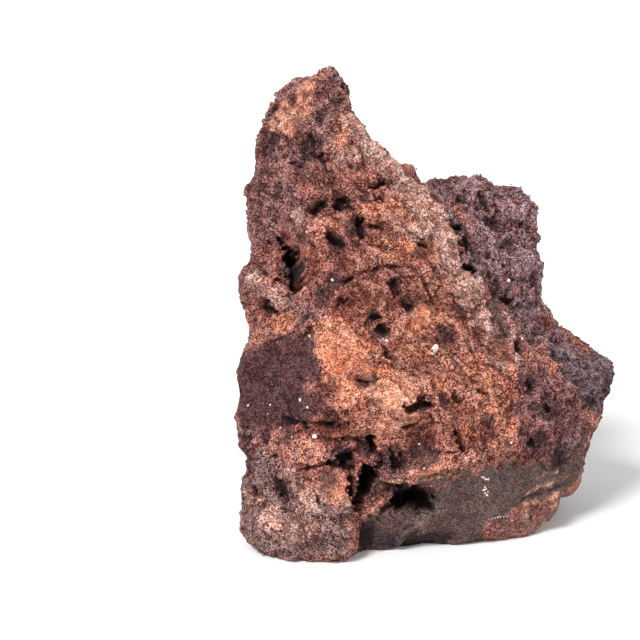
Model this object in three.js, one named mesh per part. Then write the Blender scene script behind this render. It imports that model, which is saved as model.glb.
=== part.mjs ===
// A block of red lava rock (scoria), about 28 cm tall, as one closed solid in millimetres, +Z up.
// Its blocks are convex hulls that melt into each other, with lumps grown on, hollows taken out, and a
// surface broken into tilted flats. A net of even triangles is then cast over that form as its skin.
import * as THREE from 'three';
import { ConvexHull } from 'three/addons/math/ConvexHull.js';
import { ImprovedNoise } from 'three/addons/math/ImprovedNoise.js';

// Driving sizes. X runs to the right, Y to the back, and Z up from the flat that the rock stands on.
const NET_FROM = [-140, -120, -13]; // the space that the rock lies in
const NET_TO = [140, 120, 300];
const CELL = 7.5; // width of the net's cells
const BLUR = 0.6; // how far each grid value gives way to its neighbours, so that no sliver is left
const ROUNDS = 14; // rounds of evening out the net
const LAST_ROUNDS = 5;
const EVENNESS = 0.5; // how far a round moves a point to the middle of its neighbours
const STEP = CELL / 4; // the farthest that a round moves a point on to the rock
const SNAP = 0.8; // a point lower than this lies on the flat
const BLEND = 9; // how far two blocks melt into each other
const RIM = 3; // how softly a hollow's mouth is rounded
const NEAR = 24; // farther from the surface than this, its roughness isn't worked out
const SLOPE_REACH = 0.4; // the distance over which a slope is measured
const LEAST_SLOPE = 0.35;

// The blocks, each by the corners of its convex hull.
const BLOCKS = {
  peak: [
    [-85, -14, 274], [-71, -12, 282], [-64, -10, 281], [-62, 8, 275], [-94, -12, 267], [-101, -10, 255],
    [-104, -8, 240], [-88, 18, 260], [-84, -40, 228], [-68, -38, 244], [-76, -58, 190], [-56, -10, 248],
    [-40, -10, 235], [-24, -14, 222], [-6, -16, 212], [14, -28, 190], [-44, -46, 204], [-60, 30, 240],
    [-84, 38, 236], [-20, 26, 212], [-40, 52, 190], [-96, 48, 196], [-111, 0, 200],
  ],
  tower: [
    [-109, -8, 222], [-111, -14, 178], [-112, -28, 150], [-60, -64, 158], [-66, -60, 190], [-40, -52, 205],
    [-30, -10, 226], [-18, -14, 219], [0, -24, 207], [14, -32, 191], [24, -38, 174], [-98, 46, 190],
    [-40, 52, 200], [6, 50, 186], [32, -44, 150], [-4, -60, 158], [-112, -34, 130], [-60, -66, 130],
    [22, 50, 130], [-102, 56, 130],
  ],
  cheek: [
    [-112, -30, 168], [-117, -36, 160], [-117, -44, 146], [-112, -46, 134], [-98, -58, 140], [-92, -50, 164],
    [-96, -20, 170], [-104, -10, 140], [-90, -60, 150], [-112, -20, 130],
  ],
  body: [
    [-113, -48, 117], [-114, -54, 88], [-112, -60, 51], [-106, -58, 10], [-62, -66, 150], [-104, -44, 140],
    [-76, -76, 100], [-80, -78, 66], [-40, -82, 100], [-36, -84, 56], [-20, -88, 56], [4, -86, 63],
    [27, -79, 65], [55, -63, 66], [39, -37, 146], [44, -47, 129], [53, -50, 119], [66, -46, 104],
    [-98, 58, 150], [-102, 68, 60], [-86, 64, -8], [40, 66, 140], [62, 66, 60], [56, 60, -8],
    [-32, -70, -8], [6, -61, -8], [40, -52, -8], [64, -34, -4],
  ],
  foot: [
    [-112, -60, 40], [-113, -64, 14], [-110, -76, 4], [-102, -88, -6], [-78, -98, -6], [-56, -98, -6],
    [-40, -91, -4], [-44, -93, 36], [-62, -96, 42], [-50, -88, 66], [-84, -80, 70], [-107, -70, 50],
    [-100, -20, -8], [-40, -20, -8], [-60, -40, 78], [-106, -40, 66],
  ],
  shoulder: [
    [-2, 38, 203], [14, 48, 206], [33, 54, 207], [52, 56, 202], [68, 52, 196], [79, 50, 179],
    [81, 46, 160], [76, 42, 143], [0, 16, 194], [34, 8, 170], [60, 8, 138], [30, -4, 144],
    [-6, 84, 190], [50, 90, 180], [70, 82, 120], [-20, 92, 120], [60, 84, 40], [-34, 86, 50],
    [70, 36, 98], [40, -4, 98],
  ],
  spur: [
    [68, 40, 130], [83, 30, 122], [101, 26, 109], [115, 20, 98], [122, 16, 91], [122, 10, 82],
    [112, 2, 72], [100, -8, 57], [79, -44, 86], [84, -36, 60], [80, -16, 102], [60, -34, 113],
    [60, -60, 66], [84, 54, 98], [94, 46, 62], [40, 58, 98], [40, -20, 60],
  ],
  flank: [
    [60, -61, 64], [80, -42, 62], [100, -12, 58], [100, -14, 34], [96, -16, 17], [90, -20, 13],
    [68, -44, 26], [70, -32, 12], [94, 40, 58], [88, 44, 20], [40, 50, 64], [40, -20, 10], [70, 40, 4],
  ],
  brow: [
    [-38, -86, 53], [-20, -92, 54], [4, -90, 61], [27, -83, 64], [56, -67, 65], [-36, -80, 72], [4, -80, 77],
    [56, -60, 78], [-36, -60, 56], [56, -50, 66],
  ],
  heel: [
    [22, -52, -8], [34, -58, -8], [44, -57, -8], [58, -46, -4], [70, -34, 12], [44, -54, 12],
    [70, 0, -4], [62, 46, -8], [20, 50, -8], [30, -20, 30], [60, 20, 30],
  ],
  back: [
    [-92, 58, 184], [-40, 72, 186], [10, 84, 182], [52, 90, 150], [66, 84, 60], [-94, 74, 60], [-90, 66, -8],
    [56, 66, -8], [-60, 40, 206], [0, 56, 198], [-98, 0, 60], [60, 0, 60],
  ],
  nose: [
    [-44, -80, 112], [-32, -92, 106], [-18, -99, 90], [-9, -95, 101], [-24, -97, 96], [-40, -84, 92],
    [0, -80, 112], [-20, -60, 130], [-30, -60, 84], [0, -60, 96],
  ],
  crust: [
    [-66, -72, 124], [-72, -80, 108], [-66, -84, 94], [-78, -84, 82], [-52, -88, 80], [-36, -89, 76],
    [-46, -72, 134], [-20, -78, 128], [6, -84, 100], [-14, -90, 74], [-30, -60, 110],
  ],
};

// Hollows taken out of the blocks: centre, then half widths along X, Y and Z.
const HOLLOWS = [
  { name: 'cleft beside the foot', at: [-38, -90, 47], half: [8, 24, 19] },
  { name: 'cave under the brow', at: [-13, -84, 38], half: [15, 24, 10] },
  { name: 'hollow right of the nose', at: [-4, -97, 83], half: [10, 14, 12] },
  { name: 'hole at the left', at: [-82, -54, 168], half: [7, 20, 13] },
  { name: 'groove beside the spur', at: [63, -66, 82], half: [6, 14, 24] },
  { name: 'cut below the shoulder', at: [60, -14, 126], half: [8, 14, 20] },
  { name: 'notch in the heel', at: [46, -58, 1], half: [4, 12, 8] },
  { name: 'bite under the knob', at: [-45, -6, 261], half: [8, 24, 10] },
  { name: 'bite in the crest', at: [-32, -8, 247], half: [12, 20, 9] },
  { name: 'undercut at the right', at: [88, -28, 0], half: [28, 38, 18] },
  { name: 'scoop in the back', at: [-48, 90, 62], half: [40, 18, 42] },
  { name: 'dent in the left side', at: [-124, 8, 70], half: [18, 30, 38] },
  { name: 'dent behind the peak', at: [-66, 62, 214], half: [24, 18, 26] },
];

// Lumps grown on to them, in the same way.
const LUMPS = [
  { name: 'knob on the left edge', at: [-106, -42, 103], half: [11, 13, 13] },
  { name: 'knuckle at the top', at: [-62, -10, 270], half: [11, 12, 13] },
  { name: 'crumb on the crest', at: [-14, 0, 216], half: [7, 9, 9] },
  { name: 'corner of the shoulder', at: [58, 50, 186], half: [11, 13, 12] },
  { name: 'knuckle on the back', at: [-30, 76, 136], half: [38, 18, 30] },
  { name: 'boss low on the back', at: [30, 74, 34], half: [34, 18, 28] },
];

// Smooth stretches, where the broken surface fades out.
const LEAST_ROUGH = 0.15;
const CALM = [
  { name: 'flat face under the brow', at: [34, -62, 30], half: [66, 26, 26] },
  { name: 'fine-grained patch', at: [-94, -70, 98], half: [20, 24, 26] },
];

// Waves of the surface, and the flats that it breaks into: their length and height.
const WAVES = [
  { length: 70, height: 3.4 },
  { length: 22, height: 2.5 },
];
const BREAKS = [
  { length: 38, height: 6 },
  { length: 19, height: 3.6 },
];
const WAVE_SHIFT = [9.3, 4.7, 1.9];
const CREASE = 12; // a higher value makes the creases between flats sharper
const CREASE_REACH = 1.3; // no flat reaches past this, in squared lengths from its centre
const TILT = 1.4; // how steep the flats are
const STAGGER = 0.9; // how far they stand proud of one another

const noise = new ImprovedNoise();

// The outward planes of a block's hull, as [x, y, z, distance].
function hullPlanes(corners) {
  const hull = new ConvexHull().setFromPoints(corners.map((c) => new THREE.Vector3(...c)));
  return hull.faces.map(({ normal, constant }) => [normal.x, normal.y, normal.z, constant]);
}

const blockPlanes = Object.values(BLOCKS).map(hullPlanes);

// Distance outside a convex block, negative inside.
function outsideBlock(x, y, z, planes) {
  let most = -Infinity;
  for (const [nx, ny, nz, d] of planes) most = Math.max(most, nx * x + ny * y + nz * z - d);
  return most;
}

// Rough distance outside an ellipsoid.
function outsideEllipsoid(x, y, z, { at, half }) {
  const share = Math.hypot((x - at[0]) / half[0], (y - at[1]) / half[1], (z - at[2]) / half[2]);
  return (share - 1) * Math.min(...half);
}

// The smaller of two distances, with the corner between them filled over a width.
function melt(a, b, width) {
  const share = Math.max(width - Math.abs(a - b), 0) / width;
  return Math.min(a, b) - (share * share * width) / 4;
}

// Three steady numbers from 0 to 1 for a cell of space.
function cellNumbers(i, j, k) {
  const seed = Math.sin(i * 127.1 + j * 311.7 + k * 74.7) * 43758.5453;
  const first = seed - Math.floor(seed);
  const second = (first * 61.7) % 1;
  const third = (second * 83.3) % 1;
  return [first, second, third];
}

// Scattered centres each own a tilted flat, and the flats meet in creases. Returns about -0.6 to 0.6.
function brokenFlats(x, y, z, length) {
  const [cx, cy, cz] = [x / length, y / length, z / length];
  const [ix, iy, iz] = [Math.floor(cx), Math.floor(cy), Math.floor(cz)];
  let height = 0;
  let weight = 0;
  for (let i = ix - 1; i <= ix + 1; i++)
    for (let j = iy - 1; j <= iy + 1; j++)
      for (let k = iz - 1; k <= iz + 1; k++) {
        const [a, b, c] = cellNumbers(i, j, k);
        const [dx, dy, dz] = [cx - i - a, cy - j - b, cz - k - c];
        const away = dx * dx + dy * dy + dz * dz;
        if (away > CREASE_REACH) continue;
        const share = Math.exp(-CREASE * away);
        const tilt = (b - 0.5) * dx + (c - 0.5) * dy + (a - 0.5) * dz;
        height += share * (TILT * tilt + STAGGER * (((a + b + c) % 1) - 0.5));
        weight += share;
      }
  return height / weight;
}

// How rough the surface is near a point, from 0 in a calm stretch to 1.
function roughness(x, y, z) {
  let rough = 1;
  for (const { at, half } of CALM) {
    const share = Math.hypot((x - at[0]) / half[0], (y - at[1]) / half[1], (z - at[2]) / half[2]);
    rough *= THREE.MathUtils.smoothstep(share, 0.75, 1.25);
  }
  return LEAST_ROUGH + (1 - LEAST_ROUGH) * rough;
}

// How far a point is outside the rock.
function outsideRock(x, y, z) {
  let d = Infinity;
  for (const planes of blockPlanes) d = melt(d, outsideBlock(x, y, z, planes), BLEND);
  for (const lump of LUMPS) d = melt(d, outsideEllipsoid(x, y, z, lump), BLEND);
  for (const hollow of HOLLOWS) d = -melt(-d, outsideEllipsoid(x, y, z, hollow), RIM);
  if (Math.abs(d) < NEAR) {
    const rough = roughness(x, y, z);
    for (const { length, height } of WAVES) {
      const [u, v, w] = [x, y, z].map((along, i) => along / length + WAVE_SHIFT[i]);
      d += rough * height * noise.noise(u, v, w);
    }
    for (const { length, height } of BREAKS) d += rough * height * brokenFlats(x, y, z, length);
  }
  return Math.max(d, -z);
}

// Slides a point along the rock's surface by a wish, and moves it on to the surface by no more than a step.
function settle(p, wish, step) {
  const d = outsideRock(p.x, p.y, p.z);
  const slope = new THREE.Vector3(
    outsideRock(p.x + SLOPE_REACH, p.y, p.z) - d,
    outsideRock(p.x, p.y + SLOPE_REACH, p.z) - d,
    outsideRock(p.x, p.y, p.z + SLOPE_REACH) - d,
  ).divideScalar(SLOPE_REACH);
  const steepness = Math.max(slope.length(), LEAST_SLOPE);
  const outward = slope.divideScalar(steepness);
  p.add(wish).addScaledVector(outward, -wish.dot(outward));
  p.addScaledVector(outward, -THREE.MathUtils.clamp(d / steepness, -step, step));
}

// A first net over the rock: one point in each cell of a grid that its surface crosses, joined in
// triangles round each grid edge that has one end inside.
function castNet() {
  const counts = NET_FROM.map((from, i) => Math.ceil((NET_TO[i] - from) / CELL));
  const [nx, ny, nz] = counts;
  const index = (i, j, k) => (k * (ny + 1) + j) * (nx + 1) + i;
  const sampled = new Float64Array((nx + 1) * (ny + 1) * (nz + 1));
  const at = (i, j, k) => [NET_FROM[0] + i * CELL, NET_FROM[1] + j * CELL, NET_FROM[2] + k * CELL];
  for (let k = 0; k <= nz; k++)
    for (let j = 0; j <= ny; j++)
      for (let i = 0; i <= nx; i++) sampled[index(i, j, k)] = outsideRock(...at(i, j, k));
  const field = sampled.slice();
  const steps = [1, nx + 1, (nx + 1) * (ny + 1)];
  for (let k = 1; k < nz; k++)
    for (let j = 1; j < ny; j++)
      for (let i = 1; i < nx; i++) {
        const n = index(i, j, k);
        let around = 0;
        for (const step of steps) around += sampled[n - step] + sampled[n + step];
        field[n] = sampled[n] * (1 - BLUR) + (around * BLUR) / 6;
      }
  const cellPoint = new Map();
  const points = [];
  const corners = [0, 1, 2, 3, 4, 5, 6, 7].map((c) => [c & 1, (c >> 1) & 1, c >> 2]);
  for (let k = 0; k < nz; k++)
    for (let j = 0; j < ny; j++)
      for (let i = 0; i < nx; i++) {
        const sum = new THREE.Vector3();
        let crossings = 0;
        for (let c = 0; c < 8; c++)
          for (let axis = 0; axis < 3; axis++) {
            if (corners[c][axis]) continue;
            const from = corners[c];
            const to = from.map((v, n) => (n === axis ? 1 : v));
            const a = field[index(i + from[0], j + from[1], k + from[2])];
            const b = field[index(i + to[0], j + to[1], k + to[2])];
            if (a < 0 === b < 0) continue;
            const step = a / (a - b);
            sum.add(new THREE.Vector3(...from).lerp(new THREE.Vector3(...to), step));
            crossings++;
          }
        if (!crossings) continue;
        cellPoint.set(index(i, j, k), points.length);
        points.push(new THREE.Vector3(...at(i, j, k)).addScaledVector(sum, CELL / crossings));
      }
  const faces = [];
  const ring = [[0, 0], [1, 0], [1, 1], [0, 1]];
  for (let k = 1; k < nz; k++)
    for (let j = 1; j < ny; j++)
      for (let i = 1; i < nx; i++)
        for (let axis = 0; axis < 3; axis++) {
          const end = [i, j, k];
          end[axis] += 1;
          const inside = field[index(i, j, k)] < 0;
          if (inside === field[index(...end)] < 0) continue;
          const quad = ring.map(([u, v]) => {
            const cell = [i, j, k];
            cell[(axis + 1) % 3] -= u;
            cell[(axis + 2) % 3] -= v;
            return cellPoint.get(index(...cell));
          });
          const [a, b, c, d] = inside ? quad : quad.reverse();
          const acrossAC = points[a].distanceTo(points[c]) < points[b].distanceTo(points[d]);
          faces.push(...(acrossAC ? [[a, b, c], [a, c, d]] : [[b, c, d], [b, d, a]]));
        }
  return { points, faces };
}

// For each point, the points that share an edge with it.
function neighboursOf(faces, count) {
  const found = Array.from({ length: count }, () => new Set());
  for (const [a, b, c] of faces) {
    found[a].add(b).add(c);
    found[b].add(c).add(a);
    found[c].add(a).add(b);
  }
  return found.map((set) => [...set]);
}

// Each round evens out the net, and the last ones only draw it on to the rock.
function relax({ points, faces }) {
  const neighbours = neighboursOf(faces, points.length);
  for (let round = 0; round < ROUNDS; round++) {
    const evenness = round < ROUNDS - LAST_ROUNDS ? EVENNESS : 0;
    const wishes = points.map((p, i) => {
      const mean = new THREE.Vector3();
      for (const n of neighbours[i]) mean.addScaledVector(points[n], 1 / neighbours[i].length);
      return mean.sub(p).multiplyScalar(evenness);
    });
    points.forEach((p, i) => settle(p, wishes[i], STEP));
  }
}

// The rock's skin, standing on its flat with its box centred.
function castSkin() {
  const net = castNet();
  relax(net);
  for (const p of net.points) if (p.z < SNAP) p.z = 0;
  const geometry = new THREE.BufferGeometry().setFromPoints(net.points);
  geometry.setIndex(net.faces.flat());
  geometry.computeBoundingBox();
  const middle = geometry.boundingBox.getCenter(new THREE.Vector3());
  return geometry.translate(-middle.x, -middle.y, 0);
}

const skin = castSkin();
const lavaRed = new THREE.MeshStandardMaterial({ color: 0x7d4a3a, roughness: 0.95, metalness: 0 });
const rock = new THREE.Mesh(skin, lavaRed);
rock.name = 'lava_rock';
const part = new THREE.Group();
part.add(rock);

export default part;
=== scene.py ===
"""A block of red lava rock: carves and colours its fine surface and sets it in a pale studio."""
import math

import bmesh
import bpy
import numpy as np
from bpy.props import FloatProperty, FloatVectorProperty, PointerProperty
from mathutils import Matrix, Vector, noise
from mathutils.bvhtree import BVHTree


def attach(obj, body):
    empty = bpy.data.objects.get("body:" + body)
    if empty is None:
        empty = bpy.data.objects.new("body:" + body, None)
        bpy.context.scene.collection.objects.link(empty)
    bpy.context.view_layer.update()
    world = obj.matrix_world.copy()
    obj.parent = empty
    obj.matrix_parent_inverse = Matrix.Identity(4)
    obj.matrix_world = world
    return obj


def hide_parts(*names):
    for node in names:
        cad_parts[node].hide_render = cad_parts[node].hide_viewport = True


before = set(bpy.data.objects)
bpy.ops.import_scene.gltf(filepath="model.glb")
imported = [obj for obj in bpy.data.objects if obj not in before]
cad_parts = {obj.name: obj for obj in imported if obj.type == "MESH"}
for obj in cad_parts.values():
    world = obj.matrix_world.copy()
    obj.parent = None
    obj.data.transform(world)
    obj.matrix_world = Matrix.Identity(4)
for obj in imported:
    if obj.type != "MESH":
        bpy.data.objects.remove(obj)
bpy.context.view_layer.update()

bl_info = {
    "name": "Red lava rock",
    "version": (1, 0, 0),
    "blender": (4, 5, 0),
    "location": "View3D > Sidebar > Lava Rock",
    "description": "Carves and colours a block of scoria and sets it in a pale studio",
    "category": "Object",
}

NODE = "lava_rock"
MM = 0.001
NOISE_SEED = 3  # without a seed, noise.noise_vector differs from run to run
PICTURE = 640  # width and height of the photograph in pixels
SENSOR = 36.0  # width of the camera's sensor in mm
AIM = Vector((-0.0679, 0.0010, 0.126))  # the point that the photograph's middle shows


# Where things are in the photograph: pixels, with x to the right and y down.
# Each hole: its radius and depth in mm, then the pixels along it.
HOLES = (
    (2.6, 5, ((288, 250), (293, 258))), (6.0, 14, ((292, 258), (300, 279))),
    (2.0, 5, ((278, 239), (286, 250))), (2.0, 5, ((261, 310), (274, 312))),
    (1.8, 4, ((262, 269), (265, 271))), (1.8, 4, ((280, 279), (285, 283))),
    (1.6, 4, ((309, 137), (310, 151))), (1.9, 5, ((320, 157), (323, 161))),
    (1.5, 4, ((293, 163), (296, 166))), (2.0, 4, ((361, 154), (364, 158))),
    (1.5, 3, ((338, 125), (341, 128))), (1.6, 4, ((342, 83), (341, 101))),
    (2.1, 5, ((313, 210), (323, 203))), (2.6, 6, ((337, 206), (344, 199))),
    (1.5, 3, ((349, 205), (352, 209))), (1.8, 5, ((371, 187), (382, 184))),
    (2.2, 7, ((358, 223), (361, 236))), (1.6, 4, ((372, 226), (382, 228))),
    (2.2, 6, ((329, 236), (341, 244))), (1.6, 4, ((376, 199), (385, 203))),
    (1.7, 5, ((345, 281), (351, 279))), (2.1, 5, ((394, 283), (396, 292))),
    (2.2, 5, ((404, 305), (411, 309))), (2.3, 5, ((373, 318), (378, 320))),
    (2.4, 6, ((379, 329), (386, 334))), (2.2, 5, ((386, 349), (392, 356))),
    (1.6, 4, ((377, 366), (392, 365))), (1.8, 4, ((341, 300), (345, 302))),
    (1.8, 4, ((308, 329), (311, 333))), (1.8, 4, ((356, 381), (364, 384))),
    (2.4, 9, ((408, 411), (420, 406), (432, 405))), (2.0, 5, ((420, 399), (428, 396))),
    (1.5, 4, ((408, 425), (413, 423))), (1.9, 5, ((455, 397), (460, 400))),
    (1.7, 4, ((481, 391), (487, 394))), (1.9, 5, ((457, 431), (465, 450))),
    (3.4, 7, ((393, 457), (399, 465))), (1.9, 5, ((403, 453), (407, 461))),
    (2.0, 9, ((368, 440), (372, 453))), (3.4, 8, ((341, 459), (351, 457))),
    (1.7, 6, ((330, 464), (352, 468), (378, 464))), (5.5, 12, ((370, 470), (365, 486))),
    (4.4, 12, ((363, 488), (360, 506))), (2.6, 8, ((352, 478), (356, 500))),
    (4.6, 9, ((396, 499), (406, 495))), (4.8, 9, ((414, 494), (424, 503))),
    (2.0, 5, ((385, 508), (393, 503))), (2.0, 5, ((459, 194), (461, 200))),
    (1.9, 5, ((479, 193), (490, 208))), (1.9, 7, ((455, 225), (463, 226))),
    (3.6, 6, ((466, 242), (474, 246))), (1.7, 5, ((506, 246), (508, 252))),
    (2.1, 8, ((466, 265), (480, 269))), (2.1, 5, ((503, 266), (515, 282))),
    (1.7, 4, ((489, 256), (493, 261))), (1.7, 6, ((419, 244), (427, 246))),
    (1.9, 6, ((501, 299), (511, 302))), (1.6, 4, ((524, 299), (528, 305))),
    (1.7, 5, ((519, 336), (521, 348))), (2.6, 4, ((539, 333), (548, 336))),
    (2.0, 4, ((556, 337), (561, 340))), (1.8, 4, ((520, 225), (523, 229))),
    (1.9, 4, ((545, 405), (549, 410))), (1.9, 4, ((533, 443), (537, 448))),
    (1.9, 4, ((529, 382), (535, 388))), (2.2, 4, ((276, 482), (281, 489), (286, 500))),
    (1.4, 3, ((253, 488), (256, 492))), (1.4, 3, ((318, 500), (319, 503))),
    (1.5, 3, ((272, 455), (277, 457))), (1.9, 4, ((300, 422), (304, 427))),
    (1.6, 4, ((328, 426), (336, 430))),
)

# Each crack: its width and depth in mm, then the pixels along it.
CRACKS = (
    (1.2, 2.6, ((347, 280), (360, 273), (378, 267), (392, 266), (411, 267), (423, 279), (429, 288))),
    (0.9, 1.8, ((392, 250), (405, 259), (420, 277), (429, 294), (434, 306))),
    (0.9, 1.6, ((378, 223), (398, 226), (418, 239), (434, 248))),
    (0.9, 1.6, ((386, 205), (404, 213), (420, 224))), (0.9, 1.6, ((352, 246), (368, 244), (386, 248))),
    (1.3, 3.0, ((446, 206), (458, 236), (463, 260), (488, 274), (498, 294), (500, 322), (506, 336))),
    (1.0, 1.8, ((434, 306), (452, 325), (470, 348), (480, 372))),
    (1.6, 3.5, ((371, 443), (376, 455), (379, 466), (372, 478))),
    (1.4, 3.0, ((300, 470), (318, 467), (330, 463))),
    (1.1, 2.2, ((282, 508), (295, 513), (306, 538), (307, 547))),
    (1.2, 2.2, ((384, 486), (402, 485), (430, 477), (456, 470), (482, 463), (512, 456))),
    (1.1, 2.2, ((452, 352), (470, 362), (492, 366), (506, 374), (520, 392))),
    (1.3, 2.4, ((545, 372), (556, 392), (560, 418), (553, 445))),
    (1.2, 2.2, ((270, 262), (281, 272), (289, 288))),
    (1.2, 2.2, ((311, 294), (307, 314), (291, 334), (274, 341))),
    (1.1, 1.8, ((300, 150), (318, 158), (330, 174), (334, 192))),
    (1.1, 1.8, ((258, 190), (276, 196), (290, 190), (308, 199))),
    (1.0, 2.0, ((350, 376), (366, 382), (384, 377), (398, 384), (410, 398))),
    (1.2, 2.4, ((318, 438), (336, 441), (352, 438), (366, 446))),
    (1.0, 2.0, ((435, 452), (455, 453), (484, 449), (514, 444))),
    (1.0, 1.8, ((520, 300), (532, 318), (540, 334))), (1.0, 1.8, ((500, 215), (512, 240), (520, 262))),
    (1.8, 3.0, ((285, 419), (300, 423), (318, 424), (336, 426), (350, 432))),
)
REACH = 1.5  # how far beyond its holes and cracks, in mm, the stone's mesh is finer

# Each ridge: its width and height in mm, then the pixels along it.
RIDGES = (
    (2.6, 4.0, ((399, 488), (390, 494), (381, 502), (374, 512))), (2.5, 2.5, ((364, 514), (365, 515))),
    (7.0, 2.6, ((281, 298), (282, 300))),
    (2.6, 1.8, ((382, 479), (410, 474), (440, 467), (470, 460), (505, 452), (530, 450))),
    (1.8, 2.4, ((436, 416), (438, 448))), (1.6, 2.0, ((448, 414), (449, 438))),
    (5.0, 2.6, ((424, 452), (426, 454))), (3.6, 2.2, ((384, 364), (385, 365))),
    (5.0, 2.2, ((346, 274), (372, 259), (404, 259), (424, 274))), (7.0, 2.4, ((396, 424), (408, 424))),
    (3.0, 2.0, ((360, 175), (392, 222), (420, 262), (450, 305))),
    (3.0, 1.8, ((376, 178), (410, 226), (438, 262), (470, 312))),
    (4.0, 2.4, ((500, 350), (540, 360), (575, 372), (600, 380))),
    (3.0, 2.0, ((520, 398), (560, 408), (590, 416))),
)

LAYERS_RUN = Vector((0.78, 0.05, -0.62)).normalized()  # the way that the front's fine layers run

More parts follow.
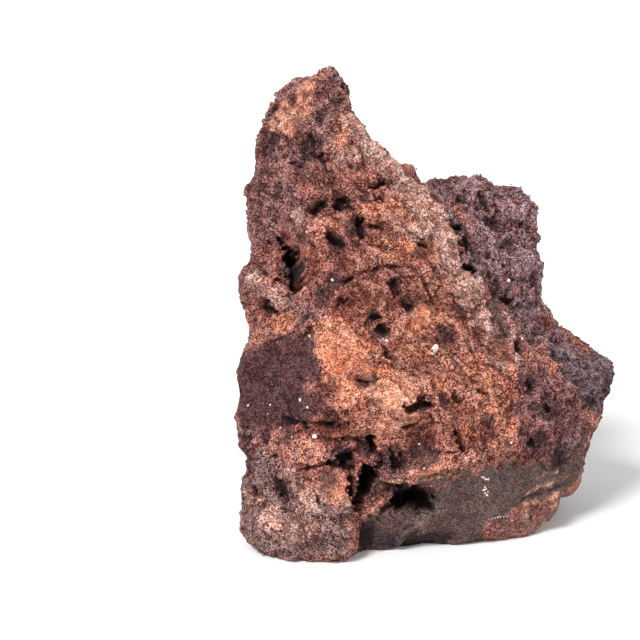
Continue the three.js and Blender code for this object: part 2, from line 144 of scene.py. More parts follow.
# Each region of colour: the blobs that it covers, as x and y in pixels and a radius in mm.
REGIONS = {
    "mauve": (
        (268, 362, 13), (285, 378, 18), (266, 394, 16), (288, 398, 16), (304, 406, 10), (246, 372, 14),
        (262, 414, 10), (310, 356, 12), (300, 348, 9), (316, 366, 10), (318, 350, 6), (322, 296, 7),
        (334, 282, 6), (243, 396, 14), (282, 416, 8),
    ),
    "peak": (
        (318, 84, 13), (296, 104, 18), (330, 112, 13), (276, 132, 18), (300, 140, 18), (282, 170, 20),
        (262, 200, 20), (250, 240, 16), (292, 210, 16), (250, 210, 24), (247, 164, 22), (264, 108, 20),
        (300, 76, 16), (338, 80, 12), (244, 280, 16), (240, 430, 13), (244, 455, 12), (238, 338, 12),
        (302, 312, 9),
    ),
    "amber": (
        (303, 92, 7), (300, 112, 7), (286, 110, 6), (340, 352, 13), (362, 372, 12), (398, 402, 13),
        (408, 418, 9), (390, 424, 9), (416, 318, 8), (334, 486, 9), (430, 470, 9),
    ),
    "bright": (
        (330, 345, 15), (350, 360, 18), (380, 372, 20), (372, 402, 18), (404, 380, 18), (430, 352, 16),
        (448, 386, 16), (400, 320, 15), (430, 318, 13), (374, 300, 12), (460, 420, 15), (482, 440, 14),
        (500, 420, 12), (350, 420, 12), (320, 450, 10), (412, 440, 12), (425, 300, 12),
    ),
    "dust": (
        (352, 126, 7), (372, 146, 9), (392, 168, 10), (410, 190, 11), (428, 214, 11), (444, 240, 11),
        (458, 266, 11), (472, 292, 11), (486, 318, 11), (500, 342, 10), (508, 358, 8), (345, 150, 8),
        (420, 232, 9), (400, 214, 9),
    ),
    "cinder": (
        (430, 186, 14), (452, 190, 16), (478, 196, 18), (504, 210, 18), (526, 226, 16), (468, 226, 16),
        (494, 246, 18), (520, 262, 17), (532, 286, 14), (500, 280, 15), (480, 262, 12), (520, 312, 14),
        (536, 330, 13), (556, 342, 13), (580, 356, 13), (470, 178, 24), (508, 192, 26), (530, 236, 26),
        (534, 286, 22), (556, 330, 14),
    ),
    "slate": (
        (602, 376, 12), (588, 392, 12), (574, 372, 11), (556, 358, 10), (598, 402, 9), (566, 446, 9),
        (580, 440, 8), (606, 372, 16), (612, 392, 14),
    ),
    "maroon": (
        (520, 372, 12), (546, 388, 15), (560, 412, 16), (552, 436, 15), (528, 408, 13), (530, 436, 12),
        (574, 424, 12), (506, 392, 10), (380, 470, 8), (340, 456, 8),
    ),
    "plain": (
        (412, 516, 9), (434, 508, 13), (458, 500, 16), (482, 494, 17), (508, 488, 17), (534, 484, 16),
        (556, 478, 15), (572, 472, 12), (440, 528, 13), (470, 522, 12), (400, 536, 11), (376, 538, 10),
        (500, 512, 9), (406, 486, 5), (424, 484, 5), (440, 480, 5), (464, 476, 5), (486, 472, 6),
        (384, 524, 9), (400, 544, 14), (440, 541, 14), (470, 538, 10), (376, 545, 8),
    ),
    "pink": (
        (498, 536, 6), (510, 534, 8), (524, 528, 9), (538, 521, 9), (552, 513, 9), (568, 504, 9),
    ),
    "ash": (
        (262, 480, 14), (284, 500, 17), (306, 520, 17), (270, 530, 17), (330, 540, 14), (300, 546, 12),
        (254, 506, 12), (282, 298, 7), (338, 512, 10), (248, 500, 20), (252, 540, 20),
    ),
    "ember": (
        (332, 330, 8), (345, 142, 5), (400, 210, 10), (385, 250, 7), (285, 320, 5), (250, 325, 6),
        (340, 355, 10), (380, 372, 12), (350, 395, 9), (385, 362, 3), (475, 367, 8), (487, 385, 8),
        (440, 385, 9), (510, 425, 7), (467, 435, 6), (422, 420, 4), (430, 315, 8), (420, 330, 6),
        (500, 410, 8), (550, 365, 6), (412, 355, 9), (365, 345, 7), (330, 372, 6), (330, 228, 6),
        (419, 352, 7), (509, 392, 7), (404, 250, 6), (430, 250, 6), (344, 128, 4), (320, 76, 4),
        (372, 210, 6), (508, 378, 6),
    ),
    "straw": (
        (306, 90, 4), (288, 127, 5), (400, 385, 8), (390, 397, 8), (387, 420, 6), (414, 402, 5),
        (405, 410, 4), (345, 338, 5), (372, 388, 6), (300, 98, 4), (270, 128, 4),
    ),
    "rose": (
        (352, 122, 6), (362, 133, 6), (375, 150, 7), (390, 163, 7), (405, 178, 7), (420, 197, 8),
        (433, 215, 8), (443, 232, 7), (450, 250, 6), (465, 275, 8), (478, 290, 7), (490, 310, 7),
        (495, 325, 6), (252, 277, 6), (280, 295, 6), (295, 217, 5), (384, 172, 6), (470, 300, 8),
        (452, 244, 6), (416, 205, 7), (321, 72, 5), (254, 495, 7), (286, 476, 6), (270, 520, 8),
        (300, 530, 8), (310, 500, 6), (460, 262, 6),
    ),
    # Dark red stone, partly painted shade in the recesses under the nose and under the ledge.
    "blood": (
        (300, 430, 5), (318, 432, 6), (336, 435, 6), (414, 428, 7), (426, 440, 6), (448, 404, 7),
        (462, 412, 7), (455, 425, 6), (366, 380, 6), (354, 377, 5), (400, 345, 5), (356, 381, 5),
        (470, 435, 6), (485, 430, 6), (500, 346, 8), (505, 352, 7), (365, 300, 9), (350, 310, 8),
        (330, 422, 8), (395, 300, 8), (445, 335, 6), (550, 320, 6), (420, 445, 7), (312, 262, 6),
        (480, 332, 5), (345, 262, 5),
    ),
    # Painted shade: near-black in the holes and caves and under the undercut foot.
    "black_shade": (
        (412, 545, 8), (388, 545, 8), (436, 542, 7), (364, 541, 6), (366, 475, 6), (361, 495, 6),
        (400, 500, 6), (416, 499, 7), (296, 268, 5), (420, 407, 3), (345, 458, 3),
    ),
    # Painted shade: soft dark spots round the holes, between the lumps, along the left edge and under the
    # foot.
    "murk": (
        (388, 458, 6), (402, 461, 6), (416, 459, 6), (430, 457, 6), (497, 318, 4), (500, 330, 5),
        (492, 306, 4), (372, 378, 4), (337, 100, 4), (320, 115, 4), (292, 97, 3.5), (270, 110, 4),
        (310, 147, 7), (270, 145, 7), (340, 202, 6), (320, 205, 5), (357, 228, 6), (337, 242, 6),
        (293, 268, 8), (264, 307, 4), (395, 282, 4), (410, 306, 5), (376, 317, 4), (382, 332, 4),
        (388, 354, 4), (362, 382, 5), (445, 332, 5), (425, 407, 5), (422, 450, 6), (400, 455, 5),
        (367, 450, 5), (347, 460, 6), (370, 485, 9), (405, 502, 9), (302, 424, 5), (281, 488, 5),
        (243, 440, 5), (242, 425, 4), (246, 456, 5), (255, 490, 4), (462, 197, 4), (482, 202, 5),
        (472, 242, 6), (510, 247, 5), (475, 267, 5), (510, 272, 5), (460, 225, 5), (497, 222, 5),
        (522, 347, 5), (555, 340, 6), (540, 330, 5), (532, 385, 6), (548, 408, 7), (540, 442, 8),
        (560, 460, 6), (412, 545, 9), (385, 542, 9), (440, 540, 8), (424, 453, 5), (330, 420, 5),
        (300, 240, 4), (329, 479, 6), (424, 464, 5), (409, 515, 6), (396, 522, 7), (444, 399, 5),
        (488, 419, 4), (372, 530, 6), (287, 438, 4), (264, 437, 4), (372, 545, 7), (425, 543, 8),
        (258, 222, 4), (276, 190, 4), (495, 290, 4), (438, 196, 4),
    ),
}
# Each stripe of colour: its width in mm, then the pixels along it.
STRIPES = {
    "ochre": (
        (2.0, ((380, 483), (400, 482), (430, 478), (460, 469), (482, 462), (505, 458), (520, 457))),
        (1.1, ((526, 494), (540, 486), (552, 484), (562, 478), (575, 473))),
        (1.6, ((514, 508), (530, 503), (542, 503), (556, 495), (570, 490))),
        (0.9, ((536, 479), (546, 473), (556, 472), (566, 465))),
    ),
    # Dark stripes in the same near-black as the painted shade.
    "black_shade": (
        (1.6, ((540, 460), (546, 467), (549, 476))), (1.4, ((560, 458), (563, 468), (561, 478))),
        (0.9, ((524, 499), (536, 494), (552, 490), (570, 480))), (1.0, ((545, 449), (552, 456))),
    ),
}
# The order in which the colours are painted, and those that hide what is under them.
PAINT_ORDER = (
    "peak", "bright", "cinder", "slate", "maroon", "ash", "mauve", "amber", "plain",
    "pink", "ochre", "dust", "blood", "ember", "straw", "rose", "murk", "black_shade")
COVERING = ("peak", "bright", "cinder", "slate", "maroon", "ash", "mauve", "plain", "pink", "ochre", "dust")
GLAZE = 0.8  # how much the others hide
# How ragged the edges of the straighter regions are, where 1 is the others.
STRAIGHTER = {"plain": 0.45, "mauve": 0.7}
# How much weaker the grain's contrast is on each region.
CALM_SHADES = {
    "plain": 0.65, "mauve": 0.12, "straw": 0.65, "amber": 0.6, "dust": 0.3, "rose": 0.25, "pink": 0.5}
# How far each region stands out of the stone in mm.
RELIEF_OF_COLOURS = {"murk": -1.8, "black_shade": -1.2, "blood": -0.9, "rose": 0.7, "straw": 0.8, "ember": 0.5}
# Where the stone is layered, as blobs too.
LAYERED = (
    (370, 190, 24), (400, 230, 26), (420, 270, 24), (448, 310, 24), (470, 350, 20), (350, 240, 20),
    (380, 270, 20), (430, 350, 20), (340, 200, 18),
)
# The white grains: x, y and a radius in mm.
CRYSTALS = (
    (434, 350, 2.6), (387, 341, 1.3), (300, 400, 1.1), (307, 407, 0.8), (316, 437, 1.6), (280, 428, 0.8),
    (270, 405, 0.8), (247, 405, 0.8), (332, 280, 0.9), (508, 281, 1.2), (531, 257, 0.9), (523, 339, 1.0),
    (511, 444, 0.7), (418, 444, 0.6), (424, 467, 0.7), (482, 477, 1.0), (484, 478, 1.2), (486, 479, 1.1),
    (488, 479, 0.9), (489, 480, 0.7), (485, 487, 0.8), (484, 490, 1.1), (486, 489, 1.1), (485, 493, 0.8),
    (487, 495, 0.9), (488, 492, 0.6), (489, 519, 0.5), (492, 518.5, 0.6), (495, 518, 0.5),
    (498, 517.4, 0.7), (500.5, 517, 0.6), (504, 516.5, 0.5), (507, 516, 0.4), (330, 326, 0.7),
    (384, 338, 0.7), (436, 347, 1.5), (432, 353, 1.4), (310, 335, 0.6), (336, 292, 0.5), (360, 354, 0.5),
    (268, 414, 0.6), (290, 436, 0.5),
)
# Broken stone: the size of its pieces and how far they stand out, both in mm.
LUMPS = ((24.0, 3.4), (13.0, 2.6))
CRUMBS = ((7.0, 1.5), (3.8, 0.9))
# Gas holes: their spacing and depth in mm, and the noise value above which the stone is open.
PITS = ((9.0, 3.2, 0.41), (5.0, 2.2, 0.36))
# How much of each colour the darkest and the palest grains keep: the dark ones are redder. Partly the
# grains' own colour, partly painted shade where the grain is low and painted highlight where it is high.
GRAIN_SHADES = ((0.27, 1.54), (0.07, 2.08), (0.04, 2.38))
# Loose crumbs: how many times one is doubled, their least and greatest radius in mm, and how deep they sit.
DOUBLINGS = 13
CRUMB_RADII = (0.7, 2.0)
CRUMB_SINK = 0.48
# How thickly crumbs lie on each region, where 1 is the rest of the stone.
CRUMB_COVER = {
    "peak": 1.5, "cinder": 1.8, "ash": 0.6, "maroon": 1.3, "slate": 0.8, "bright": 0.7, "layered": 0.3,
    "amber": 0.2, "dust": 0.4, "pink": 0.15, "ochre": 0.2, "mauve": 0.12, "plain": 0.0}
CRUMB_SEED = 11
CRUMB_SMALLNESS = 1.6  # above 1, small crumbs are more common than large ones
CRUMB_STRETCH = (0.55, 1.15)  # along each of a crumb's axes
CRUMB_RAGGED = (0.75, 1.15)  # at each of its corners
CRUMB_JITTER = 0.5  # mm
CRUMB_FREE_FOOT = 4  # the height in mm below which no crumb lies
CRYSTAL_RAGGED = 0.7
CRYSTAL_SINK = 0.35  # of its radius
# Natural cracks: the spacing of their lines and their depth in mm.
CREASES = ((34.0, 2.6), (15.0, 1.8))

# Sums of noise: the length in mm and the height of each part.
EDGE_WAVES = ((16, 0.45), (6, 0.35), (2.6, 0.35))  # of a region's edge
HOLE_WAVES = ((5, 0.7), (2.2, 0.8))  # of the edges of holes and cracks
SWELLS = ((9, 1.0), (4, 0.6))  # of the whole surface, in mm
RAGGED = {"hole": 0.8, "crack": 0.5, "ridge": 0.4}  # how strongly those waves bend each kind
WARP_LENGTH = 24  # mm
STRIPE_RAGGED = 1.4
STRIPE_SOFT = 0.9
STRIPE_SHOWN, STRIPE_BREAKS, STRIPE_BREAK_LENGTH = 0.65, 1.7, 6
EDGE, EDGE_SOFT = 1.35, 0.6  # where a region ends and how wide it fades, against its radius
RIM = 1.2  # how far a hole or crack reaches, against its radius or width
HOLE_WALL, CRACK_WALL = 0.5, 0.7  # how soft their walls are, against the same
# The darkness below is painted shade in the holes and cracks.
HOLE_DARK, CRACK_DARK = (0.45, 12), (0.4, 8)  # a shallow one's darkness, and the depth in mm that adds 1
RIDGE_REACH = 1.4  # against its width
RELIEF_IN_DARK = 0.6  # how much of the relief a hole or crack takes away

# How even each region is, for the large lumps and for the fine relief, and how much that flattens.
EVEN_LUMPS = {"plain": 1, "mauve": 0.75}
EVEN_RELIEF = {"plain": 1, "mauve": 0.85, "pink": 0.7}
FLATTENING = 0.85
# How loose and how smooth regions are, and what that does to the lumps' height.
LOOSE = {"peak": 1, "cinder": 1, "ash": 0.3, "slate": 1}
SMOOTHER = {"layered": 1, "dust": 1, "amber": 1}
USUAL_LUMPS, LOOSER, LOWER = 0.55, 0.45, 0.2
EVEN_GRAIN, EVEN_GRAIN_LENGTH = 0.25, 2.4  # mm
LAYERS_ELSEWHERE = 0.15  # how high the layers' ridges are off the layered front
# How strongly the mesh is evened out after each of the two rounds of finer cuts, once for each number.
RELAXING = ((0.5, 0.5), (0.35,))
ON_FLOOR = 0.3  # a point lower than this, in mm, stands on the floor
PIT_SHADE, CREASE_SHADE, HOLLOW_SHADE = 0.55, 0.5, 0.42  # how dark each is against a carved hole
# At how many rounds of averaging a point's depth is measured, and the depth in mm that counts there.
DEPTH_SCALES = {2: 0.5, 6: 1.0, 24: 2.0}
FULL_DEPTH = 2.4

# The sides that the photograph doesn't show: the length in mm and offset of three noises, then for each
# colour the noise that places it, its sign, and how much is added.
BACK_NOISES = ((46, (3.1, 0, 0)), (38, (0, 7.7, 0)), (30, (0, 0, 5.2)))
BACK_COLOURS = (
    ("peak", 1, 1, 0.16), ("bright", 0, -1, -0.14), ("cinder", 2, 1, -0.08), ("maroon", 1, -1, -0.2),
    ("ash", 2, -1, -0.14), ("mauve", 0, 1, -0.26), ("amber", 0, -1, -0.34))
TURNED_AWAY = 0.35  # how far towards the viewer a face may turn and still take them
BACK_EDGE = 0.12

# How much each chip and wave of the grain adds to its height, its shade and its flecks.
HEIGHT_WEIGHTS = {"large": 0.4, "small": 0.35, "grain": 0.35, "grit": 1.1, "swell": 1.6, "line": 4.5}
SHADE_WEIGHTS = {"large": 0.06, "small": 0.14, "grain": 2.5, "grit": 3.4, "swell": 0.5, "line": 3.2}
FLECK_WEIGHTS = {"grain": 0.5, "small": 0.5, "mottle": 1.6}
DARK_DEPTH = 1.4  # how deep cracks and holes are against that
CALM_HEIGHT, CALM_COLOUR = 0.8, 0.45  # how much of it a calm region takes away
# What each kind of spot multiplies the stone's colour by.
PATCH_TINGE = (0.80, 0.71, 0.71)
CAST_TINGE = (0.98, 1.16, 1.28)
WARM_FLECK = (1.18, 1.01, 0.82)
COOL_FLECK = (0.95, 1.04, 1.10)
# Painted highlight on the ridges.
PAINTED_RIDGE_HIGHLIGHT = (1.30, 1.38, 1.42)
# Painted shade in the fine cracks and pits of the grain.
PAINTED_CRACK_SHADE = (0.20, 0.10, 0.10)
# Painted shade in the hollows, carved holes and cracks, pits and creases.
PAINTED_HOLLOW_SHADE = (0.17, 0.08, 0.08)
STAIN_TINGE = (0.72, 0.58, 0.48, 1)
# How much of each of these shows.
CAST_SHARE, SHADE_SHARE, RIDGE_SHARE, CRACK_SHARE = 0.5, 0.95, 0.35, 0.85


class LavaRockSizes(bpy.types.PropertyGroup):
    relief: FloatProperty(
        name="Relief", description="How strongly lumps, crumbs and pits stand out",
        default=0.84, min=0.0, max=2.0, subtype="FACTOR")
    layer_height: FloatProperty(
        name="Layer height", description="Height of the ridges along the layered front",
        default=2.0 * MM, min=0.0, max=4 * MM, unit="LENGTH")
    warp: FloatProperty(
        name="Warp", description="How far the pattern of lumps is bent out of its regular grid",
        default=5 * MM, min=0.0, max=20 * MM, unit="LENGTH")
    grit: FloatProperty(
        name="Grit", description="Depth of the finest grain",
        default=0.9 * MM, min=0.0, max=2 * MM, unit="LENGTH")


def colour_property(name, description, srgb):
    linear = tuple((c / 255) ** 2.2 for c in srgb)
    return FloatVectorProperty(
        name=name, description=description, default=linear, size=3, min=0, max=1, subtype="COLOR")


class LavaRockColours(bpy.types.PropertyGroup):
    rust: colour_property("Rust", "The stone's main red brown", (186, 114, 97))
    bright: colour_property("Bright rust", "Fresh faces at the front", (199, 126, 103))
    amber: colour_property("Amber", "Yellowish weathered patches", (196, 128, 102))
    mauve: colour_property("Mauve", "The fine-grained purple patch", (93, 57, 55))
    peak: colour_property("Peak brown", "The brown top and left side", (152, 99, 90))
    dust: colour_property("Dust", "Pale dust along the crest", (207, 152, 133))
    cinder: colour_property("Cinder", "The dark shoulder at the back", (160, 116, 112))
    slate: colour_property("Slate", "Grey skin on the spur", (122, 94, 93))
    maroon: colour_property("Maroon", "Dark red hollows at the right", (152, 99, 92))
    plain: colour_property("Plain face", "The smooth broken face at the foot", (98, 75, 69))
    ochre: colour_property("Ochre", "Stripes along the edges of the plain face", (206, 142, 106))
    pink: colour_property("Pink", "The pinkish heel", (146, 98, 86))
    ash: colour_property("Ash", "The greyish foot", (142, 102, 93))
    ember: colour_property("Ember", "The most orange spots", (216, 130, 98))
    straw: colour_property("Straw", "The yellowest spots", (216, 142, 114))
    rose: colour_property("Rose", "Pale pink spots of dust", (206, 150, 132))
    # Dark red stone, partly painted shade in the recesses under the nose and under the ledge.
    blood: colour_property("Blood", "Dark red spots", (138, 72, 58))
    # Painted shade between the lumps and round the holes.
    murk: colour_property("Murk", "Dark spots between the lumps", (84, 56, 54))
    # Near-black painted shade, in the holes and under the foot.
    black_shade: colour_property("Black shade", "The blackest stone, in the holes and under the foot", (48, 40, 42))
    crystal: colour_property("Crystal", "White mineral grains", (236, 226, 212))


class LavaRockStudio(bpy.types.PropertyGroup):
    lens: FloatProperty(
        name="Lens", description="Focal length of the camera", default=100.0, min=10.0, unit="CAMERA")
    distance: FloatProperty(
        name="Distance", description="From the camera to the point it aims at",
        default=1.1, min=0.1, unit="LENGTH")
    pitch: FloatProperty(
        name="Pitch", description="How far the camera looks down",
        default=math.radians(12), subtype="ANGLE", unit="ROTATION")
    key: FloatProperty(name="Key light", description="Strength of the main light", default=3.6, min=0.0)
    fill: FloatProperty(
        name="Fill light", description="Strength of the weaker light", default=0.75, min=0.0)
    glow: FloatProperty(
        name="Glow", description="Strength of the light from all round", default=0.68, min=0.0)
    floor_size: FloatProperty(
        name="Floor size", description="Width of the floor", default=40.0, min=1.0, unit="LENGTH")
    floor: FloatVectorProperty(
        name="Floor", description="Colour of the floor", default=(0.86, 0.86, 0.86), size=3,
        subtype="COLOR")


# The photograph's pixels and the rock

def view_axes(studio):
    forward = Vector((0, math.cos(studio.pitch), -math.sin(studio.pitch)))
    right = Vector((1, 0, 0))
    return right, right.cross(forward), forward


def cad_tree():
    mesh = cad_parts[NODE].data
    return BVHTree.FromPolygons([v.co for v in mesh.vertices], [p.vertices for p in mesh.polygons])


class Finder:
    """Finds where on the rock a pixel of the photograph lies."""

    def __init__(self, studio):
        self.tree = cad_tree()
        self.right, self.up, self.forward = view_axes(studio)
        self.eye = AIM - self.forward * studio.distance
        self.focal = studio.lens / SENSOR * PICTURE

    def place(self, x, y):
        """The point in mm and the rock's outward direction there."""
        slope = self.right * (x - PICTURE / 2) + self.up * (PICTURE / 2 - y)
        ray = (self.forward + slope / self.focal).normalized()
        hit, normal, _, _ = self.tree.ray_cast(self.eye, ray)
        if hit is None:
            depth = -self.eye.dot(self.forward)
            hit, normal, _, _ = self.tree.find_nearest(self.eye + ray * depth)
        outward = (normal.normalized() - self.forward).normalized()
        return np.array(hit) / MM, np.array(outward)

    def path(self, pixels):
        return [self.place(x, y)[0] for x, y in pixels]


# Measures of many points at once, in mm

def smooth(share):
    share = np.clip(share, 0, 1)
    return share * share * (3 - 2 * share)


def away_from_path(points, path):
    nearest = np.full(len(points), np.inf)
    for start, end in zip(path[:-1], path[1:]):
        along = end - start
        t = np.clip((points - start) @ along / max(along @ along, 1e-9), 0, 1)
        nearest = np.minimum(nearest, np.linalg.norm(points - start - t[:, None] * along, axis=1))
    return nearest


def faded(nearest, softness):
    """From 0 to 1 as a distance falls, where 1 is the nominal radius of what it is measured from."""
    return smooth((EDGE - nearest) / softness)


def cover(points, blobs, wobble):
    """From 0 to 1, how far each point is inside a region of blobs, with a ragged edge."""
    nearest = np.full(len(points), np.inf)
    for centre, radius in blobs:
        nearest = np.minimum(nearest, np.linalg.norm(points - centre, axis=1) / radius)
    return faded(nearest * (1 + wobble), EDGE_SOFT)


def each(points, measure):
    return np.array([measure(Vector(p)) for p in points])


def waves(points, parts):
    """A sum of noises, each by its length in mm and its height."""
    return each(points, lambda p: sum(height * noise.noise(p / length) for length, height in parts))


def strongest(regions, shares):
    """The highest of some regions' values, each times its own share."""
    return np.maximum.reduce([share * regions[name] for name, share in shares.items()])


def hashed(cell):
    return (math.sin(cell.dot(Vector((12.9898, 78.233, 37.719)))) * 43758.5453) % 1


def chipped(p, size):
    """Height of a field of tilted chips with creases between them, from about -0.6 to 0.6."""
    (near, next_near, *_), (cell, *_) = noise.voronoi(p / size)
    pick = hashed(cell)
    tilt = Vector((pick, pick * 7.3 % 1, pick * 13.7 % 1)) - Vector((0.5, 0.5, 0.5))
    crease = 1 - min((next_near - near) / 0.14, 1)
    return 1.7 * tilt.dot(p / size - cell) + 0.5 * (pick * 29.1 % 1) - 0.2 - 0.3 * crease


def pitted(p, size, limit):
    """Depth of a scatter of ragged holes, from 0 to 1."""
    bent = p / size + noise.noise_vector(p / (0.45 * size)) * 0.3
    return max(min((noise.noise(bent) - limit) / 0.1, 1), 0)


def creased(p, spacing):
    """Depth of broken lines that wind over the stone, from 0 to 1."""
    bent = p + noise.noise_vector(p / (0.4 * spacing)) * 0.12 * spacing
    line = 1 - abs(noise.noise(bent / spacing + Vector((8.3, 0, 0)))) * spacing / 2.6
    open_here = noise.noise(p / (0.8 * spacing) + Vector((0, 5.1, 0))) * 4 + 0.8
    return max(line, 0) * max(min(open_here, 1), 0)


def layered(p):
    """Height of ridges that run down to the right across the front, from -1 to 1."""
    q = p - LAYERS_RUN * LAYERS_RUN.dot(p) * 0.8
    q += noise.noise_vector(p / 22) * 5
    fold = noise.noise(q / 4.8)
    return 1 - 2.8 * abs(fold) + 0.5 * noise.noise(q / 2.4)


# The stone

def mesh_arrays(bm):
    points = np.array([v.co for v in bm.verts]) / MM
    bm.normal_update()
    return points, np.array([v.normal for v in bm.verts])


def put_back(bm, points):
    for vert, point in zip(bm.verts, points * MM):
        vert.co = point


def neighbour_mean(values, edges, counts):
    total = np.zeros_like(values)
    np.add.at(total, edges[:, 0], values[edges[:, 1]])
    np.add.at(total, edges[:, 1], values[edges[:, 0]])
    return total / counts


def carve_features(points, normals, finder):
    """Presses in the photograph's holes and cracks, raises its ridges, and tells how much painted shade
    each hole and crack gets.
    """
    start = points
    dark = np.zeros(len(points))
    ragged = waves(points, HOLE_WAVES)
    for radius, depth, pixels in HOLES:
        found = [finder.place(x, y) for x, y in pixels]
        away = away_from_path(start, [spot for spot, _ in found]) * (1 + RAGGED["hole"] * ragged)
        share = smooth((RIM * radius - away) / (HOLE_WALL * radius))
        points = points - (depth * share)[:, None] * found[0][1]
        dark = np.maximum(dark, share * min(HOLE_DARK[0] + depth / HOLE_DARK[1], 1))
    for width, depth, pixels in CRACKS:
        away = away_from_path(start, finder.path(pixels)) * (1 + RAGGED["crack"] * ragged)
        share = smooth((RIM - away / width) / CRACK_WALL)
        points = points - (depth * share)[:, None] * normals
        dark = np.maximum(dark, share * min(CRACK_DARK[0] + depth / CRACK_DARK[1], 1))
    for width, height, pixels in RIDGES:
        away = away_from_path(start, finder.path(pixels)) * (1 + RAGGED["ridge"] * ragged)
        points = points + (height * smooth(RIDGE_REACH - away / width))[:, None] * normals
    return points, dark


def halve_edges(bm, edges):
    bmesh.ops.subdivide_edges(bm, edges=edges, cuts=1, use_grid_fill=True)


def relax(bm, factors):
    for factor in factors:
        bmesh.ops.smooth_vert(
            bm, verts=bm.verts, factor=factor, use_axis_x=True, use_axis_y=True, use_axis_z=True)


def refine_beside_features(bm, finder):
    """Cuts the mesh finer where holes and cracks need thin, steep walls."""
    points, _ = mesh_arrays(bm)
    near = np.zeros(len(points), bool)
    for width, _, pixels in HOLES + CRACKS:
        near |= away_from_path(points, finder.path(pixels)) < RIM * width + REACH
    halve_edges(bm, [e for e in bm.edges if near[e.verts[0].index] and near[e.verts[1].index]])
    bmesh.ops.triangulate(bm, faces=[f for f in bm.faces if len(f.verts) > 3])


def stone_regions(points, finder):
    """From 0 to 1, how much each region of colour or layers covers each point."""
    wobble = waves(points, EDGE_WAVES)
    regions = {}
    for name, blobs in {**REGIONS, "layered": LAYERED}.items():
        placed = [(finder.place(x, y)[0], radius) for x, y, radius in blobs]
        regions[name] = cover(points, placed, wobble * STRAIGHTER.get(name, 1))
    gaps = each(points, lambda p: noise.noise(p / STRIPE_BREAK_LENGTH + Vector((0, 0, 2.7))))
    broken = smooth(STRIPE_SHOWN + STRIPE_BREAKS * gaps)
    for name, stripes in STRIPES.items():
        for width, pixels in stripes:
            away = away_from_path(points, finder.path(pixels))
            stripe = broken * faded(away / width * (1 + STRIPE_RAGGED * wobble), STRIPE_SOFT)
            regions[name] = np.maximum(regions.get(name, 0), stripe)
    return regions


def add_back_colours(points, normals, regions, forward):
    """Carries the colours that the photograph shows on to the sides that it doesn't."""
    known = np.maximum.reduce(list(regions.values()))
    unseen = smooth((normals @ np.array(forward) + TURNED_AWAY) / TURNED_AWAY) * (1 - known)
    noises = [each(points, lambda p: noise.noise(p / length + Vector(offset)))
              for length, offset in BACK_NOISES]
    for name, number, sign, more in BACK_COLOURS:
        wish = sign * noises[number] + more
        regions[name] = np.maximum(regions[name], unseen * smooth(wish / BACK_EDGE))


def front_layers(regions):
    """The layered front, without the dark shoulder behind it."""
    return regions["layered"] * (1 - regions["cinder"])


def lumpy(regions):
    """How strongly the stone is broken up at each point."""
    loose = strongest(regions, LOOSE)
    return USUAL_LUMPS + LOOSER * loose - LOWER * strongest(regions, SMOOTHER) * (1 - loose)


def raise_lumps(points, normals, regions, sizes):
    """Moves the points by the largest pieces that the stone is broken into."""
    warp = sizes.warp / MM
    rough = 1 - FLATTENING * strongest(regions, EVEN_LUMPS)
    raised = points.copy()
    for size, height in LUMPS:
        lumps = each(points, lambda p: chipped(p + noise.noise_vector(p / WARP_LENGTH) * warp, size))
        raised += (height * sizes.relief * rough * lumpy(regions) * lumps)[:, None] * normals
    return raised


def fine_relief(points, regions, sizes):
    """How far each point stands out in mm, and from 0 to 1 how much painted shade its pits and creases get.
    """
    even = strongest(regions, EVEN_RELIEF)
    rough = 1 - FLATTENING * even
    ridged = LAYERS_ELSEWHERE + (1 - LAYERS_ELSEWHERE) * front_layers(regions)
    height = np.zeros(len(points))
    for size, tall in CRUMBS:
        share = each(points, lambda p: chipped(p + noise.noise_vector(p / (1.6 * size)) * 0.4 * size, size))
        height += tall * share * lumpy(regions)
    height += sizes.layer_height / MM * ridged * each(points, layered)
    height += waves(points, SWELLS)
    height *= rough
    for name, rise in RELIEF_OF_COLOURS.items():
        height += rise * regions[name]
    shade = np.zeros(len(points))
    for size, depth, limit in PITS:
        pit = rough * lumpy(regions) * each(points, lambda p: pitted(p, size, limit))
        height -= depth * pit
        shade = np.maximum(shade, PIT_SHADE * pit)
    for spacing, depth in CREASES:
        crease = rough * each(points, lambda p: creased(p, spacing))
        height -= depth * crease
        shade = np.maximum(shade, CREASE_SHADE * crease)
    height += EVEN_GRAIN * even * each(points, lambda p: noise.noise(p / EVEN_GRAIN_LENGTH))
    return height, shade


def carve_stone(sizes, finder):
    """The rock's fine surface: a copy of its solid, carved after each of two rounds of finer cuts."""
    bm = bmesh.new()
    bm.from_mesh(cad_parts[NODE].data)
    bmesh.ops.remove_doubles(bm, verts=bm.verts, dist=0.01 * MM)

    halve_edges(bm, bm.edges)
    relax(bm, RELAXING[0])
    points, normals = mesh_arrays(bm)
    standing = points[:, 2] < ON_FLOOR
    raised = raise_lumps(points, normals, stone_regions(points, finder), sizes)
    raised[standing] = points[standing]
    put_back(bm, raised)

    halve_edges(bm, bm.edges)
    relax(bm, RELAXING[1])
    refine_beside_features(bm, finder)
    points, normals = mesh_arrays(bm)
    standing = points[:, 2] < ON_FLOOR
    regions = stone_regions(points, finder)
    add_back_colours(points, normals, regions, finder.forward)
    height, shade = fine_relief(points, regions, sizes)
    carved, dark = carve_features(points, normals, finder)
    points = carved + (sizes.relief * height * (1 - RELIEF_IN_DARK * dark))[:, None] * normals
    points[standing, 2] = 0
    points[:, 2] = np.maximum(points[:, 2], 0)
    put_back(bm, points)
    bm.normal_update()
    return bm, points, regions, np.maximum(dark, shade)


